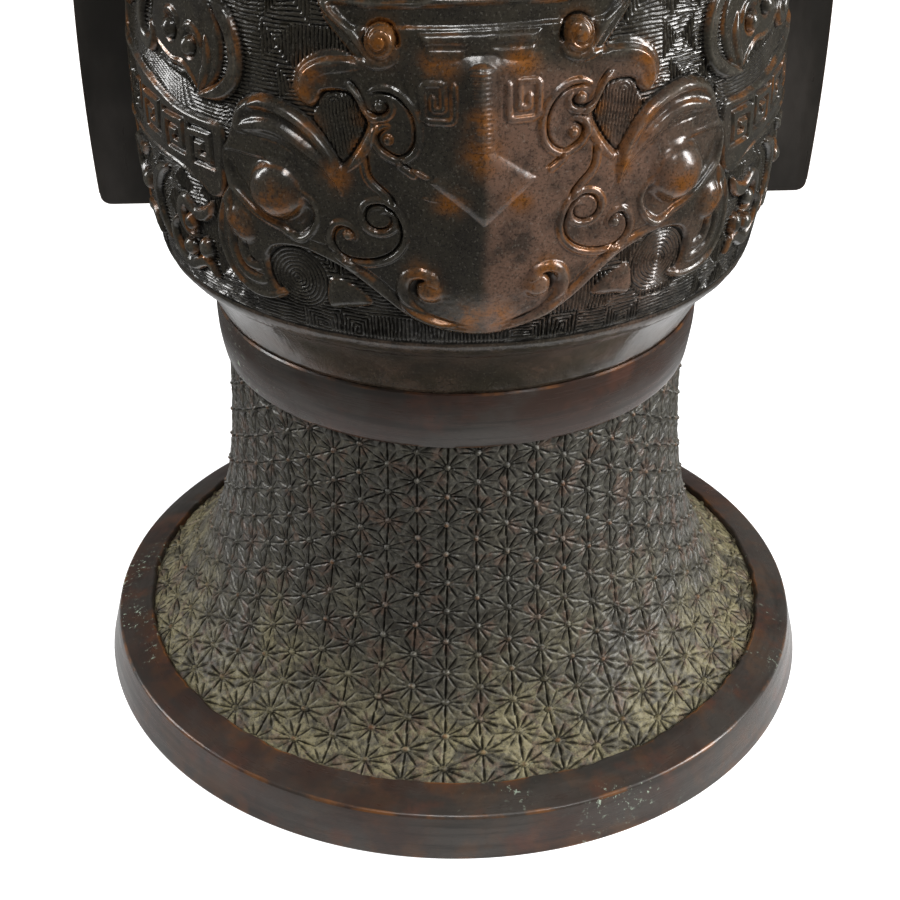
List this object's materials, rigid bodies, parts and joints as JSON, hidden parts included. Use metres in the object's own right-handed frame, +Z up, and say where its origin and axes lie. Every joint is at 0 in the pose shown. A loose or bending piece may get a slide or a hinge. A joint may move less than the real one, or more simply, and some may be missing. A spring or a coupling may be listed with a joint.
{
  "type": "bronze gu vessel",
  "caption": "Archaistic bronze gu vase: flared foot on a plain ring, mask-cast barrel belly with side flanges, trumpet neck with a plain lip.",
  "frame": {"origin": "centre of the base ring's rest face", "axes": "+Z up along the vessel's axis; flanges at -X and +X; the middle of the front mask faces -Y"},
  "size_m": [0.2192, 0.2192, 0.41],
  "materials": {
    "plain_bronze": "smooth dark brown patina, satin",
    "star_bronze": "dark brown to olive patina over cast star relief",
    "mask_bronze": "chocolate brown patina over cast mask relief, rubbed on the high points",
    "flange_bronze": "smooth near-black patina",
    "inner_bronze": "dull unpolished casting"
  },
  "bodies": {
    "root": {"base_rim": "plain_bronze", "foot_shell": "star_bronze", "foot_collar": "plain_bronze", "belly_floor": "inner_bronze", "belly_shell": "mask_bronze", "right_flange": "flange_bronze", "left_flange": "flange_bronze", "flange_pins": "inner_bronze", "neck_collar": "plain_bronze", "neck_trumpet": "star_bronze", "mouth_rim": "plain_bronze"}
  },
  "joints": []
}
